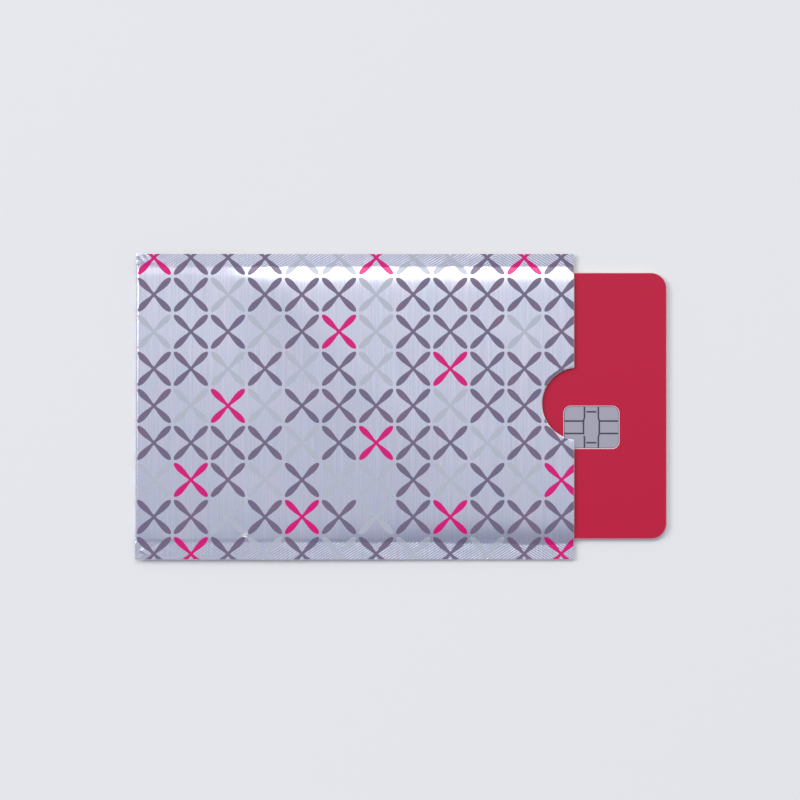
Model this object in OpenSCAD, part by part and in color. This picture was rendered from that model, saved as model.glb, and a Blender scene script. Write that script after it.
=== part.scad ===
// Card sleeve of foil-faced paper, folded at one end and heat-sealed along both long edges,
// with a contactless bank-size card pushed most of the way in.
// The sleeve lies on its back. X runs from the fold to the open mouth, Z is up,
// and the origin is on the underside, in the middle of the sleeve.

/* [Card] */
// Length of the card
card_length = 85.6; // [84:0.1:87]
// Width of the card
card_width = 53.98; // [53:0.02:55]
// Radius of the card's corners
card_corner_r = 3.18; // [2:0.01:5]
// Thickness of each clear overlay film
overlay_t = 0.05; // [0.03:0.01:0.08]
// Thickness of each printed core sheet
sheet_t = 0.17; // [0.15:0.01:0.22]
// Thickness of the inlay that holds the antenna
inlay_t = 0.32; // [0.3:0.01:0.4]
// How far the card sticks out of the mouth at rest
card_out = 18.8; // [5:0.1:60]

/* [Sleeve laminate] */
// Thickness of the aluminium foil
foil_t = 0.04; // [0.02:0.01:0.06]
// Thickness of the paper liner
paper_t = 0.12; // [0.08:0.01:0.2]
// Thickness of the sealing film between the two sheets
film_t = 0.03; // [0.02:0.01:0.06]

/* [Sleeve form] */
// Width of the upper heat seal
upper_seal_width = 2.7; // [1.5:0.1:5]
// Width of the lower heat seal
lower_seal_width = 3.4; // [1.5:0.1:5]
// Play between the card and the upper seal
upper_play = 1.15; // [0.7:0.05:3]
// Play between the card and the lower seal
lower_play = 0.75; // [0.7:0.05:3]
// Height that the front sheet rises above the card's edges
crown = 0.45; // [0.1:0.05:1.2]
// Share of that height that the upper shoulder's straight slope takes up
upper_straight = 0.3; // [0:0.05:0.6]
// Share of that height that the lower shoulder's straight slope takes up
lower_straight = 0; // [0:0.05:0.6]
// Distance over which the upper shoulder levels out
upper_spread = 0.9; // [0.5:0.1:4]
// Distance over which the lower shoulder levels out
lower_spread = 1.5; // [0.5:0.1:4]
// Depth of the rounded fold at the closed end
fold_depth = 0.7; // [0.5:0.05:1.5]
// Play between the fold and a card that is pushed home
fold_play = 0.3; // [0.1:0.1:3]
// How far inside the mouth the end of such a card lies
mouth_recess = 2.4; // [0:0.1:5]

/* [Thumb notch] */
// Radius of the notch
notch_r = 7.35; // [5:0.05:10]
// How far the centre of the notch lies beyond the mouth
notch_beyond = 0.86; // [0:0.02:3]
// How far the centre of the notch lies above the middle of the sleeve
notch_rise = 0.6; // [-3:0.1:3]

/* [Chip] */
// Length of the contact plate
plate_length = 10.9; // [10.5:0.1:13]
// Width of the contact plate
plate_width = 8.3; // [8:0.1:11]
// Radius of the contact plate's corners
plate_corner_r = 1.25; // [0.5:0.05:2]
// Distance from the card's outer end to the contact plate
plate_from_end = 9.8; // [9:0.05:11]
// Distance from the card's lower edge to the contact plate
plate_from_edge = 18.5; // [17:0.1:20]
// Width of the grooves between the contacts
groove_width = 0.3; // [0.15:0.01:0.4]
// Thickness of the plated contacts
plating_t = 0.035; // [0.025:0.005:0.05]
// Thickness of the tape that carries the chip
carrier_t = 0.11; // [0.08:0.01:0.13]
// Thickness of the adhesive between the tape and the card
adhesive_t = 0.02; // [0.01:0.005:0.03]
// Length of the silicon die
die_length = 2.6; // [1.5:0.1:4]
// Width of the silicon die
die_width = 2.2; // [1.5:0.1:4]
// Thickness of the silicon die
die_t = 0.15; // [0.1:0.01:0.18]
// Thickness of the resin over the die
resin_t = 0.26; // [0.22:0.01:0.3]
// Length of the resin
resin_length = 7.4; // [5:0.1:8]
// Width of the resin
resin_width = 5.6; // [4:0.1:6]

/* [Antenna] */
// Turns of the antenna
antenna_turns = 4; // [2:1:6]
// Distance between neighbouring turns
antenna_pitch = 0.7; // [0.4:0.05:0.8]
// Width of the antenna's track
track_width = 0.2; // [0.1:0.05:0.3]
// Thickness of the antenna's track
track_t = 0.1; // [0.05:0.01:0.1]
// Distance from the card's edge to the outermost turn
antenna_margin = 3; // [2:0.1:4]
// Radius of the innermost turn's corners
antenna_corner_r = 1.5; // [1:0.1:3]

/* [Back of the card] */
// Width of the magnetic stripe
stripe_width = 12.7; // [10:0.1:13]
// Distance from the card's lower edge to the stripe
stripe_from_edge = 4; // [3:0.1:5.5]
// Length of the signature panel
signature_length = 62; // [40:1:70]
// Width of the signature panel
signature_width = 9; // [6:0.5:12]
// Distance from the stripe to the signature panel
signature_gap = 3; // [1:0.5:8]
// Depth that the stripe and the panel are set into the film
inset_t = 0.02; // [0.01:0.005:0.025]

/* [Hidden] */

// Clearances
card_float = 0.08;       // gap under the card
shoulder_lift = 0.06;    // gap over the card's edges
shoulder_overlap = 0.15; // how far a seam strip carries on past its bend or the card's edge
film_gap = 0.02;         // gap between the sealing film and the fold
plate_gap = 0.1;         // gap round the contact plate
resin_gap = 0.3;         // gap round the resin
resin_floor_gap = 0.02;  // gap under the resin
cut = 1;                 // how far a cutting shape runs past what it cuts

// How finely the curves are drawn
shoulder_steps = 6;
crown_steps = 10;
fold_steps = 8;
arc_faces = 96;
corner_faces = 64;
corner_step = 15;

// Heights
wall = foil_t + paper_t;
card_t = 2 * overlay_t + 2 * sheet_t + inlay_t;
card_bottom = wall + card_float;
card_top = card_bottom + card_t;
seam_z = card_bottom + card_t / 2;
front_edge_z = card_top + shoulder_lift;
crown_z = front_edge_z + crown;
seal_top_z = seam_z + film_t / 2;
seal_floor_z = seam_z - film_t / 2;

// Plan of the sleeve
sleeve_length = fold_depth + fold_play + card_length + mouth_recess;
sleeve_width = lower_seal_width + lower_play + card_width + upper_play + upper_seal_width;
fold_x = -sleeve_length / 2;
mouth_x = sleeve_length / 2;
panel_x = fold_x + fold_depth;
lower_edge = -sleeve_width / 2;
upper_edge = sleeve_width / 2;
lower_seal_y = lower_edge + lower_seal_width;
upper_seal_y = upper_edge - upper_seal_width;
pocket_y = (upper_seal_y + lower_seal_y) / 2;

// Place of the card
card_x0 = mouth_x + card_out - card_length;
card_x1 = mouth_x + card_out;
card_y0 = lower_seal_y + lower_play;
card_y1 = card_y0 + card_width;

// Heights inside the card, from the top face down
front_sheet_z = card_top - overlay_t - sheet_t;
inlay_z = front_sheet_z - inlay_t;
back_sheet_z = inlay_z - sheet_t;
plating_z = card_top - plating_t;
carrier_z = plating_z - carrier_t;
ledge_z = carrier_z - adhesive_t;
resin_z = carrier_z - resin_t;
cavity_z = resin_z - resin_floor_gap;

// Place of the chip
plate_x = card_x1 - plate_from_end - plate_length / 2;
plate_y = card_y0 + plate_from_edge + plate_width / 2;
cavity_length = resin_length + 2 * resin_gap;
cavity_width = resin_width + 2 * resin_gap;
cavity_corner_r = 0.8;

// Section of the front sheet across the sleeve. From each seal it climbs in a straight slope
// that clears the card's edge, as far as a bend, and levels out from there.

function slope(play) = (front_edge_z - seal_top_z) / play;
function bend_z(straight) = front_edge_z + straight * crown;
function bend_in(play, straight) = (bend_z(straight) - seal_top_z) / slope(play);

// Height at a distance in from a seal
function shoulder_z(in, play, straight, spread) =
  let (past = in - bend_in(play, straight))
    past <= 0
      ? seal_top_z + slope(play) * max(0, in)
      : crown_z - (crown_z - bend_z(straight)) * exp(-past / spread);

function front_inside(y) = min(
  shoulder_z(y - lower_seal_y, lower_play, lower_straight, lower_spread),
  shoulder_z(upper_seal_y - y, upper_play, upper_straight, upper_spread)
);

lower_bend = bend_in(lower_play, lower_straight);
upper_bend = bend_in(upper_play, upper_straight);
lower_panel_y = lower_seal_y + lower_bend + shoulder_overlap;
upper_panel_y = upper_seal_y - upper_bend - shoulder_overlap;

// Distances past a bend at which the sheet has risen by equal steps, and where it is as good as level
function curve_steps(spread) = concat(
  [for (i = [1:crown_steps - 1]) let (past = -spread * ln(1 - i / crown_steps)) if (past > shoulder_overlap) past],
  [5 * spread]
);
function backwards(list) = [for (i = [len(list) - 1:-1:0]) list[i]];

lower_front_ys = [lower_edge, lower_seal_y, lower_seal_y + lower_bend, lower_panel_y];
upper_front_ys = [upper_panel_y, upper_seal_y - upper_bend, upper_seal_y, upper_edge];
panel_ys = concat(
  [lower_panel_y],
  [for (past = curve_steps(lower_spread)) lower_seal_y + lower_bend + past],
  [for (past = backwards(curve_steps(upper_spread))) upper_seal_y - upper_bend - past],
  [upper_panel_y]
);
front_ys = concat(
  [lower_edge, lower_seal_y, lower_seal_y + lower_bend], panel_ys,
  [upper_seal_y - upper_bend, upper_seal_y, upper_edge]
);

// Section of the back sheet: flat under the card, with a soft step up to each seal

function smooth(u) = u <= 0 ? 0 : u >= 1 ? 1 : u * u * (3 - 2 * u);

lower_step = lower_play + shoulder_overlap;
upper_step = upper_play + shoulder_overlap;
lower_flat_y = lower_seal_y + lower_step;
upper_flat_y = upper_seal_y - upper_step;

function back_inside(y) =
  seal_floor_z - (seal_floor_z - wall)
    * min(smooth((y - lower_seal_y) / lower_step), smooth((upper_seal_y - y) / upper_step));

function span(from, to, steps) = [for (i = [0:steps]) from + (to - from) * i / steps];

lower_back_ys = concat([lower_edge], span(lower_seal_y, lower_flat_y, shoulder_steps));
upper_back_ys = concat(span(upper_flat_y, upper_seal_y, shoulder_steps), [upper_edge]);
back_ys = concat(lower_back_ys, upper_back_ys);

// Extrudes a section drawn in Y and Z along X
module along_x(from, to) {
  translate([from, 0, 0]) rotate([90, 0, 90]) linear_extrude(to - from) children();
}

// A layer of the front sheet, from inner to outer above its inside face
module front_layer(ys, inner, outer) {
  polygon(concat(
    [for (y = ys) [y, front_inside(y) + inner]],
    [for (y = backwards(ys)) [y, front_inside(y) + outer]]
  ));
}

// A layer of the back sheet, from inner to outer below its inside face
module back_layer(ys, inner, outer) {
  polygon(concat(
    [for (y = ys) [y, back_inside(y) - outer]],
    [for (y = backwards(ys)) [y, back_inside(y) - inner]]
  ));
}

module notch_cut() {
  translate([mouth_x + notch_beyond, notch_rise, -cut])
    cylinder(h = front_inside(pocket_y) + wall + 2 * cut, r = notch_r, $fn = arc_faces);
}

module front_panel(inner, outer) {
  difference() {
    along_x(panel_x, mouth_x) front_layer(panel_ys, inner, outer);
    notch_cut();
  }
}

module back_panel(inner, outer) {
  difference() {
    along_x(panel_x, mouth_x) back_layer([lower_flat_y, upper_flat_y], inner, outer);
    notch_cut();
  }
}

// Space inside the fold's outer skin, moved in by depth.
// The past lengths carry it on beyond the panel's end and the cut edges.
module fold_space(depth, past) {
  rise = front_inside(pocket_y) + wall - seam_z - depth;
  fall = seam_z - depth;
  reach = fold_depth - depth;
  ends = past == 0 ? [[], []] : [[lower_edge - past], [upper_edge + past]];
  intersection() {
    along_x(fold_x - cut, panel_x + past) polygon(concat(
      [for (y = concat(ends[0], back_ys, ends[1])) [y, back_inside(y) - wall + depth]],
      [for (y = backwards(concat(ends[0], front_ys, ends[1]))) [y, front_inside(y) + wall - depth]]
    ));
    rotate([90, 0, 0]) linear_extrude(sleeve_width + 4 * cut, center = true) polygon(concat(
      [[panel_x + past, seam_z - fall]],
      [for (i = [0:fold_steps])
        let (a = 90 * i / fold_steps)
          [panel_x - reach * sin(a), seam_z - fall * cos(a)]],
      [for (i = [fold_steps - 1:-1:0])
        let (a = 90 * i / fold_steps)
          [panel_x - reach * sin(a), seam_z + rise * cos(a)]],
      [[panel_x + past, seam_z + rise]]
    ));
  }
}

module fold_layer(inner, outer) {
  difference() {
    fold_space(inner, 0);
    fold_space(outer, cut);
  }
}

module seal_film(from, to) {
  translate([fold_x + wall + film_gap, from, seam_z - film_t / 2])
    cube([sleeve_length - wall - film_gap, to - from, film_t]);
}

// Flat plate with round corners, standing on z
module rounded_plate(x, y, z, length, width, r, h) {
  translate([x, y, z]) linear_extrude(h) rounded_outline(length, width, r);
}

module rounded_outline(length, width, r) {
  square([length - 2 * r, width], center = true);
  square([length, width - 2 * r], center = true);
  for (sx = [-1, 1], sy = [-1, 1])
    translate([sx * (length / 2 - r), sy * (width / 2 - r)])
      circle(r = r, $fn = corner_faces);
}

module card_layer(z, h) {
  rounded_plate((card_x0 + card_x1) / 2, (card_y0 + card_y1) / 2, z, card_length, card_width, card_corner_r, h);
}

// Recess for the contact plate and its tape
module plate_recess() {
  rounded_plate(plate_x, plate_y, ledge_z, plate_length + 2 * plate_gap, plate_width + 2 * plate_gap,
    plate_corner_r + plate_gap, card_top - ledge_z + cut);
}

// Deeper recess for the resin
module resin_recess() {
  rounded_plate(plate_x, plate_y, cavity_z, cavity_length, cavity_width, cavity_corner_r,
    card_top - cavity_z + cut);
}

// Sleeve

module front_foil() {
  color("lavender") front_panel(paper_t, wall);
}

module front_paper() {
  color("white") front_panel(0, paper_t);
}

module back_foil() {
  color("lavender") back_panel(paper_t, wall);
}

module back_paper() {
  color("white") back_panel(0, paper_t);
}

module upper_seam_front_foil() {
  color("silver") along_x(panel_x, mouth_x) front_layer(upper_front_ys, paper_t, wall);
}

module upper_seam_front_paper() {
  color("white") along_x(panel_x, mouth_x) front_layer(upper_front_ys, 0, paper_t);
}

module upper_seam_back_foil() {
  color("silver") along_x(panel_x, mouth_x) back_layer(upper_back_ys, paper_t, wall);
}

module upper_seam_back_paper() {
  color("white") along_x(panel_x, mouth_x) back_layer(upper_back_ys, 0, paper_t);
}

module lower_seam_front_foil() {
  color("silver") along_x(panel_x, mouth_x) front_layer(lower_front_ys, paper_t, wall);
}

module lower_seam_front_paper() {
  color("white") along_x(panel_x, mouth_x) front_layer(lower_front_ys, 0, paper_t);
}

module lower_seam_back_foil() {
  color("silver") along_x(panel_x, mouth_x) back_layer(lower_back_ys, paper_t, wall);
}

module lower_seam_back_paper() {
  color("white") along_x(panel_x, mouth_x) back_layer(lower_back_ys, 0, paper_t);
}

module upper_seal_film() {
  color("wheat") seal_film(upper_seal_y, upper_edge);
}

module lower_seal_film() {
  color("wheat") seal_film(lower_edge, lower_seal_y);
}

module end_fold_foil() {
  color("silver") fold_layer(0, foil_t);
}

module end_fold_paper() {
  color("white") fold_layer(foil_t, wall);
}

// Card

module card_front_overlay() {
  color("crimson") difference() {
    card_layer(card_top - overlay_t, overlay_t);
    plate_recess();
  }
}

module card_front_sheet() {
  color("firebrick") difference() {
    card_layer(front_sheet_z, sheet_t);
    plate_recess();
    resin_recess();
  }
}

module card_inlay() {
  color("whitesmoke") difference() {
    card_layer(inlay_z, inlay_t);
    resin_recess();
    antenna();
  }
}

module card_back_sheet() {
  color("whitesmoke") card_layer(back_sheet_z, sheet_t);
}

module card_back_overlay() {
  color("gainsboro") difference() {
    card_layer(card_bottom, overlay_t);
    stripe(cut);
    signature(cut);
  }
}

// The stripe runs from end to end of the card, and below is how far it is carried on down
module stripe(below) {
  intersection() {
    card_layer(card_bottom - below, inset_t + below);
    translate([card_x0 - cut, card_y0 + stripe_from_edge, card_bottom - below])
      cube([card_length + 2 * cut, stripe_width, inset_t + below]);
  }
}

module signature(below) {
  translate([
    (card_x0 + card_x1 - signature_length) / 2,
    card_y0 + stripe_from_edge + stripe_width + signature_gap,
    card_bottom - below
  ])
    cube([signature_length, signature_width, inset_t + below]);
}

module magnetic_stripe() {
  color("black") stripe(0);
}

module signature_panel() {
  color("ivory") signature(0);
}

// Antenna: one track that winds outwards from the chip, comes back under its own turns
// on a strap, and ends beside its start

coil_x1 = card_x1 - antenna_margin - antenna_turns * antenna_pitch;
coil_x0 = card_x0 + antenna_margin + (antenna_turns - 1) * antenna_pitch;
coil_y0 = card_y0 + antenna_margin + (antenna_turns - 1) * antenna_pitch;
coil_y1 = card_y1 - antenna_margin - (antenna_turns - 1) * antenna_pitch;
track_z = front_sheet_z - track_t;
strap_t = 0.05;
strap_drop = 0.06;    // gap between the turns and the strap under them
strap_z = track_z - strap_drop - strap_t;
lead_x = plate_x + cavity_length / 2;
lead_gap = 1.6;       // from the chip's middle to each lead
strap_reach = 1.2;    // how far the strap carries on inside the innermost turn
start_y = plate_y + lead_gap;
end_y = plate_y - lead_gap;
return_x = coil_x1 - strap_reach;

// A quarter turn about its centre, at the given radius, from the given angle
function quarter(cx, cy, r, from) =
  [for (a = [from:corner_step:from + 90]) [cx + r * cos(a), cy + r * sin(a)]];

// One side of the track, at the given distance outside its middle line
function coil_side(out) =
  let (r = antenna_corner_r)
    concat(
      [[lead_x, start_y - out]],
      quarter(coil_x1 - r, start_y + r, r + out, -90),
      [for (t = [0:antenna_turns - 1])
        let (
          g = t * antenna_pitch,
          last = quarter(coil_x1 + g + antenna_pitch - r, coil_y0 - g + r, r + out, -90)
        )
          each concat(
            quarter(coil_x1 + g - r, coil_y1 + g - r, r + out, 0),
            quarter(coil_x0 - g + r, coil_y1 + g - r, r + out, 90),
            quarter(coil_x0 - g + r, coil_y0 - g + r, r + out, 180),
            last
          )],
      [[coil_x1 + antenna_turns * antenna_pitch + out, end_y + track_width / 2]]
    );

module antenna() {
  outer = coil_side(track_width / 2);
  inner = coil_side(-track_width / 2);
  outermost_x = coil_x1 + antenna_turns * antenna_pitch;
  translate([0, 0, track_z]) linear_extrude(track_t)
    polygon(concat(outer, [for (i = [len(inner) - 1:-1:0]) inner[i]]));
  translate([lead_x, end_y - track_width / 2, track_z])
    cube([return_x - lead_x + track_width / 2, track_width, track_t]);
  translate([return_x - track_width / 2, end_y - track_width / 2, strap_z])
    cube([outermost_x - return_x + track_width, track_width, strap_t]);
  for (x = [return_x, outermost_x])
    translate([x - track_width / 2, end_y - track_width / 2, strap_z])
      cube([track_width, track_width, track_z - strap_z + track_t]);
}

module antenna_coil() {
  color("peru") antenna();
}

// Chip

column_half = 1.4;      // half the width of the plate's middle column
column_bulge = 0.2;     // how much wider it is between the two rows of grooves
bulge_run = 0.8;        // length of the slant from the one width to the other
row_half = 1.26;        // from the plate's middle to each row of grooves
bridge_width = 0.36;    // the bridge that joins one corner contact to the middle column
bar_from_middle = 3.13; // from the plate's middle to each short bar
bar_length = 2;

// Groove along one side of the middle column, which bulges between the two rows
module column_groove(side) {
  w = groove_width / 2;
  x0 = side * column_half;
  x1 = side * (column_half + column_bulge);
  y1 = row_half;
  y2 = row_half + bulge_run;
  y3 = plate_width / 2 + cut;
  polygon([
    [x0 - w, -y3], [x0 + w, -y3], [x0 + w, -y2], [x1 + w, -y1], [x1 + w, y1], [x0 + w, y2],
    [x0 + w, y3], [x0 - w, y3], [x0 - w, y2], [x1 - w, y1], [x1 - w, -y1], [x0 - w, -y2]
  ]);
}

module row_groove(side, y) {
  from = column_half + column_bulge;
  length = plate_length / 2 + cut - from;
  translate([side > 0 ? from : -from - length, y - groove_width / 2]) square([length, groove_width]);
}

// Foil left between the lower left contact and the middle column, just below the row groove
module ground_bridge() {
  translate([-column_half - column_bulge - groove_width, -row_half - groove_width / 2 - bridge_width])
    square([column_bulge + 2 * groove_width, bridge_width]);
}

module contact_pads() {
  color("silver") translate([plate_x, plate_y, plating_z]) linear_extrude(plating_t) difference() {
    rounded_outline(plate_length, plate_width, plate_corner_r);
    difference() {
      column_groove(-1);
      ground_bridge();
    }
    column_groove(1);
    for (side = [-1, 1], y = [-row_half, row_half]) row_groove(side, y);
    for (y = [-bar_from_middle, bar_from_middle])
      translate([-bar_length / 2, y - groove_width / 2]) square([bar_length, groove_width]);
  }
}

module chip_carrier() {
  color("darkolivegreen")
    rounded_plate(plate_x, plate_y, carrier_z, plate_length, plate_width, plate_corner_r, carrier_t);
}

module chip_adhesive() {
  color("khaki") difference() {
    rounded_plate(plate_x, plate_y, ledge_z, plate_length, plate_width, plate_corner_r, adhesive_t);
    resin_recess();
  }
}

module die(extra) {
  translate([plate_x - die_length / 2, plate_y - die_width / 2, carrier_z - die_t])
    cube([die_length, die_width, die_t + extra]);
}

module chip_die() {
  color("dimgray") die(0);
}

module chip_resin() {
  color("black") difference() {
    rounded_plate(plate_x, plate_y, resin_z, resin_length, resin_width, cavity_corner_r, resin_t);
    die(cut);
  }
}

front_foil();
front_paper();
back_foil();
back_paper();
upper_seam_front_foil();
upper_seam_front_paper();
upper_seam_back_foil();
upper_seam_back_paper();
lower_seam_front_foil();
lower_seam_front_paper();
lower_seam_back_foil();
lower_seam_back_paper();
upper_seal_film();
lower_seal_film();
end_fold_foil();
end_fold_paper();
card_front_overlay();
card_front_sheet();
card_inlay();
card_back_sheet();
card_back_overlay();
antenna_coil();
magnetic_stripe();
signature_panel();
contact_pads();
chip_carrier();
chip_adhesive();
chip_die();
chip_resin();
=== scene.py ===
import math
import random

import bmesh
import bpy
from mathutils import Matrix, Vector, noise


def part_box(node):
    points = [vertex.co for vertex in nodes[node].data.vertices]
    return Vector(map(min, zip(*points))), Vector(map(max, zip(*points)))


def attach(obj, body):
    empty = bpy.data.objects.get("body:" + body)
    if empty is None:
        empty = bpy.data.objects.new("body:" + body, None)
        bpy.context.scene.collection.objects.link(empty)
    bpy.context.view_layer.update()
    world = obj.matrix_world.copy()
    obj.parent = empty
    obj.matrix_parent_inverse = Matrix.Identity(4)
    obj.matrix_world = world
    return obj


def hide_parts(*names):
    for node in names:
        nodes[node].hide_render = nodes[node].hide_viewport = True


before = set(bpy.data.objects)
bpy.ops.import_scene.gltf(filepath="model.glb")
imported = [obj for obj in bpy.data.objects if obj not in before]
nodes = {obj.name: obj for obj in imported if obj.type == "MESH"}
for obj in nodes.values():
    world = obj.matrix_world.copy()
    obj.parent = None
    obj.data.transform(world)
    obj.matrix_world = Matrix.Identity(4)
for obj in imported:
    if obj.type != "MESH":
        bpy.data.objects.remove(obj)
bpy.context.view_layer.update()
print("frame loaded with", len(nodes), "solids")

mm = 0.001  # shapes are worked out in millimetres and stored in metres

scene = bpy.context.scene
scene.view_settings.view_transform = "Standard"


cameraLook = {
    "lens": 85,
    "sensor": 36,
    "acrossView": 162.6,     # mm of table from side to side
    "centre": (9.25, 1.34),  # mm, what the middle of the picture looks at
}


def placeCamera(look):
    data = bpy.data.cameras.new("camera")
    data.lens = look["lens"]
    data.sensor_width = look["sensor"]
    data.clip_start = 0.01
    data.clip_end = 20
    camera = bpy.data.objects.new("camera", data)
    scene.collection.objects.link(camera)
    distance = look["acrossView"] * look["lens"] / look["sensor"]
    x, y = look["centre"]
    camera.location = (x * mm, y * mm, distance * mm)  # straight down, the top of the picture is +Y
    scene.camera = camera


placeCamera(cameraLook)


def hexToLinear(code):
    channels = [int(code[i:i + 2], 16) / 255 for i in (1, 3, 5)]
    linear = [c / 12.92 if c <= 0.04045 else ((c + 0.055) / 1.055) ** 2.4 for c in channels]
    return (*linear, 1.0)


# adds a node, gives its sockets and options their settings and joins its inputs
def addNode(tree, kind, settings=None, links=None):
    node = tree.nodes.new(kind)
    for key, value in (settings or {}).items():
        if isinstance(key, int) or key in node.inputs:
            node.inputs[key].default_value = value
        else:
            setattr(node, key, value)
    for key, source in (links or {}).items():
        tree.links.new(source, node.inputs[key])
    return node


# the values that a noise texture mostly stays between
usualNoise = {"From Min": 0.3, "From Max": 0.7}


def startMaterial(name):
    material = bpy.data.materials.new(name)
    material.use_nodes = True
    material.node_tree.nodes.clear()
    return material, material.node_tree


studioLook = {
    "overhead": 0.79,              # radiance straight above
    "swing": 0.36,                 # how much brighter the bright side is, and darker the other
    "steepness": 5.4,              # how fast the one passes into the other overhead
    "brightSide": (0.1, 0.99, 0),  # which way it lies
    "tints": ("#E7EDFF", "#FFFFFF"),  # the dark side is a little bluer
    # share of that from the far left to the far right
    "across": [(0.0, 0.6), (0.3, 0.9), (0.4, 1.0), (0.67, 1.0), (0.8, 0.3), (1.0, 0.25)],
    # least and most radiance from the horizon to overhead, so that low down all sides are alike
    "least": [(0.0, 0.66), (0.3, 0.62), (0.5, 0.3), (0.6, 0.0), (1.0, 0.0)],
    "most": [(0.0, 0.66), (0.5, 0.7), (0.68, 1.0), (1.0, 1.0)],
}

# the first two gleam on the upper shoulder, the last shades the cut edges and lights the fold
softboxes = {
    "shoulderBox": {"direction": (-0.02, 0.63, 0.775), "distance": 3.6, "size": (1.5, 1.3), "radiance": 3.2},
    "shoulderGlow": {"direction": (-0.02, 0.5, 0.86), "distance": 3.8, "size": (1.7, 2.5), "radiance": 0.45},
    "edgeBox": {"direction": (-0.72, 0.3, 0.62), "distance": 3.9, "size": (1.7, 1.7), "radiance": 7.0},
}


def hangSoftbox(name, look):
    lamp = bpy.data.lights.new(name, "AREA")
    lamp.shape = "RECTANGLE"
    lamp.size, lamp.size_y = look["size"]  # m, across and up
    lamp.energy = look["radiance"] * math.pi * lamp.size * lamp.size_y
    box = bpy.data.objects.new(name, lamp)
    away = Vector(look["direction"]).normalized()
    box.location = away * look["distance"]
    box.rotation_mode = "QUATERNION"
    box.rotation_quaternion = away.to_track_quat("Z", "Y")
    box.visible_camera = False
    scene.collection.objects.link(box)


# gives a node's curve its points
def setCurve(node, places):
    curve = node.mapping.curves[0]
    while len(curve.points) < len(places):
        curve.points.new(0.5, 0.5)
    for point, place in zip(curve.points, places):
        point.location = place
    node.mapping.update()


def lightStudio(look):
    world = bpy.data.worlds.new("studio")
    world.use_nodes = True
    tree = world.node_tree
    tree.nodes.clear()
    place = addNode(tree, "ShaderNodeTexCoord")
    direction = place.outputs["Generated"]
    axes = addNode(tree, "ShaderNodeSeparateXYZ", {}, {0: direction})

    # the radiance passes from the dark side to the bright one overhead
    lean = addNode(tree, "ShaderNodeVectorMath", {
        "operation": "DOT_PRODUCT", 1: look["brightSide"]}, {0: direction})
    steep = addNode(tree, "ShaderNodeMath", {
        "operation": "MULTIPLY", 1: look["steepness"]}, {0: lean.outputs["Value"]})
    side = addNode(tree, "ShaderNodeMath", {"operation": "TANH"}, {0: steep.outputs[0]})
    level = addNode(tree, "ShaderNodeMath", {
        "operation": "MULTIPLY_ADD", 1: look["swing"], 2: look["overhead"]}, {0: side.outputs[0]})

    # less comes from the right, and near the horizon all sides are held between the two limits
    fromLeft = addNode(tree, "ShaderNodeMapRange", {"From Min": -1.0}, {"Value": axes.outputs[0]})
    share = addNode(tree, "ShaderNodeFloatCurve", {}, {"Value": fromLeft.outputs[0]})
    setCurve(share, look["across"])
    shaded = addNode(tree, "ShaderNodeMath", {"operation": "MULTIPLY"}, {
        0: level.outputs[0], 1: share.outputs[0]})
    least = addNode(tree, "ShaderNodeFloatCurve", {}, {"Value": axes.outputs[2]})
    setCurve(least, look["least"])
    most = addNode(tree, "ShaderNodeFloatCurve", {}, {"Value": axes.outputs[2]})
    setCurve(most, look["most"])
    raised = addNode(tree, "ShaderNodeMath", {"operation": "MAXIMUM"}, {
        0: shaded.outputs[0], 1: least.outputs[0]})
    strength = addNode(tree, "ShaderNodeMath", {"operation": "MINIMUM"}, {
        0: raised.outputs[0], 1: most.outputs[0]})

    brightness = addNode(tree, "ShaderNodeMapRange", {"From Min": -1.0}, {"Value": side.outputs[0]})
    darkTint, brightTint = (hexToLinear(code) for code in look["tints"])
    tint = addNode(tree, "ShaderNodeMix", {
        "data_type": "RGBA", 6: darkTint, 7: brightTint}, {0: brightness.outputs[0]})
    sky = addNode(tree, "ShaderNodeBackground", {}, {
        "Color": tint.outputs[2], "Strength": strength.outputs[0]})
    addNode(tree, "ShaderNodeOutputWorld", {}, {"Surface": sky.outputs[0]})
    scene.world = world
    for name, boxLook in softboxes.items():
        hangSoftbox(name, boxLook)


floorLook = {
    "colour": "#E9E9EB",
    "radius": 5.0,     # m
    "below": 0.03,     # mm, how far it lies under the sleeve
    "sides": 96,
    "grain": 900.0,    # about 1 mm
    "grainDepth": 0.02,
}


def layFloor(look):
    # Matt studio board: an even pale tone that only takes the contact shadow
    material, tree = startMaterial("studioBoardMatt")
    place = addNode(tree, "ShaderNodeTexCoord")
    grain = addNode(tree, "ShaderNodeTexNoise", {"Scale": look["grain"], "Detail": 3.0}, {
        "Vector": place.outputs["Object"]})
    bump = addNode(tree, "ShaderNodeBump", {"Strength": 0.1, "Distance": look["grainDepth"] * mm}, {
        "Height": grain.outputs["Fac"]})
    board = addNode(tree, "ShaderNodeBsdfPrincipled", {
        "Base Color": hexToLinear(look["colour"]), "Roughness": 0.9, "Specular IOR Level": 0.2}, {
        "Normal": bump.outputs["Normal"]})
    addNode(tree, "ShaderNodeOutputMaterial", {}, {"Surface": board.outputs[0]})
    mesh = bpy.data.meshes.new("floor")
    radius, sides = look["radius"], look["sides"]
    ring = [2 * math.pi * i / sides for i in range(sides)]
    points = [(radius * math.cos(a), radius * math.sin(a), -look["below"] * mm) for a in ring]
    mesh.from_pydata(points, [], [list(range(sides))])
    mesh.materials.append(material)
    floor = bpy.data.objects.new("floor", mesh)
    scene.collection.objects.link(floor)


lightStudio(studioLook)
layFloor(floorLook)
print("camera, light and floor placed")


# sizes that the sleeve takes from the solids, in mm

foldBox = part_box("end_fold_foil")
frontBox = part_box("front_foil")
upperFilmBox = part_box("upper_seal_film")
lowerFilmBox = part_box("lower_seal_film")
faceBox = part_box("card_front_overlay")

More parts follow.
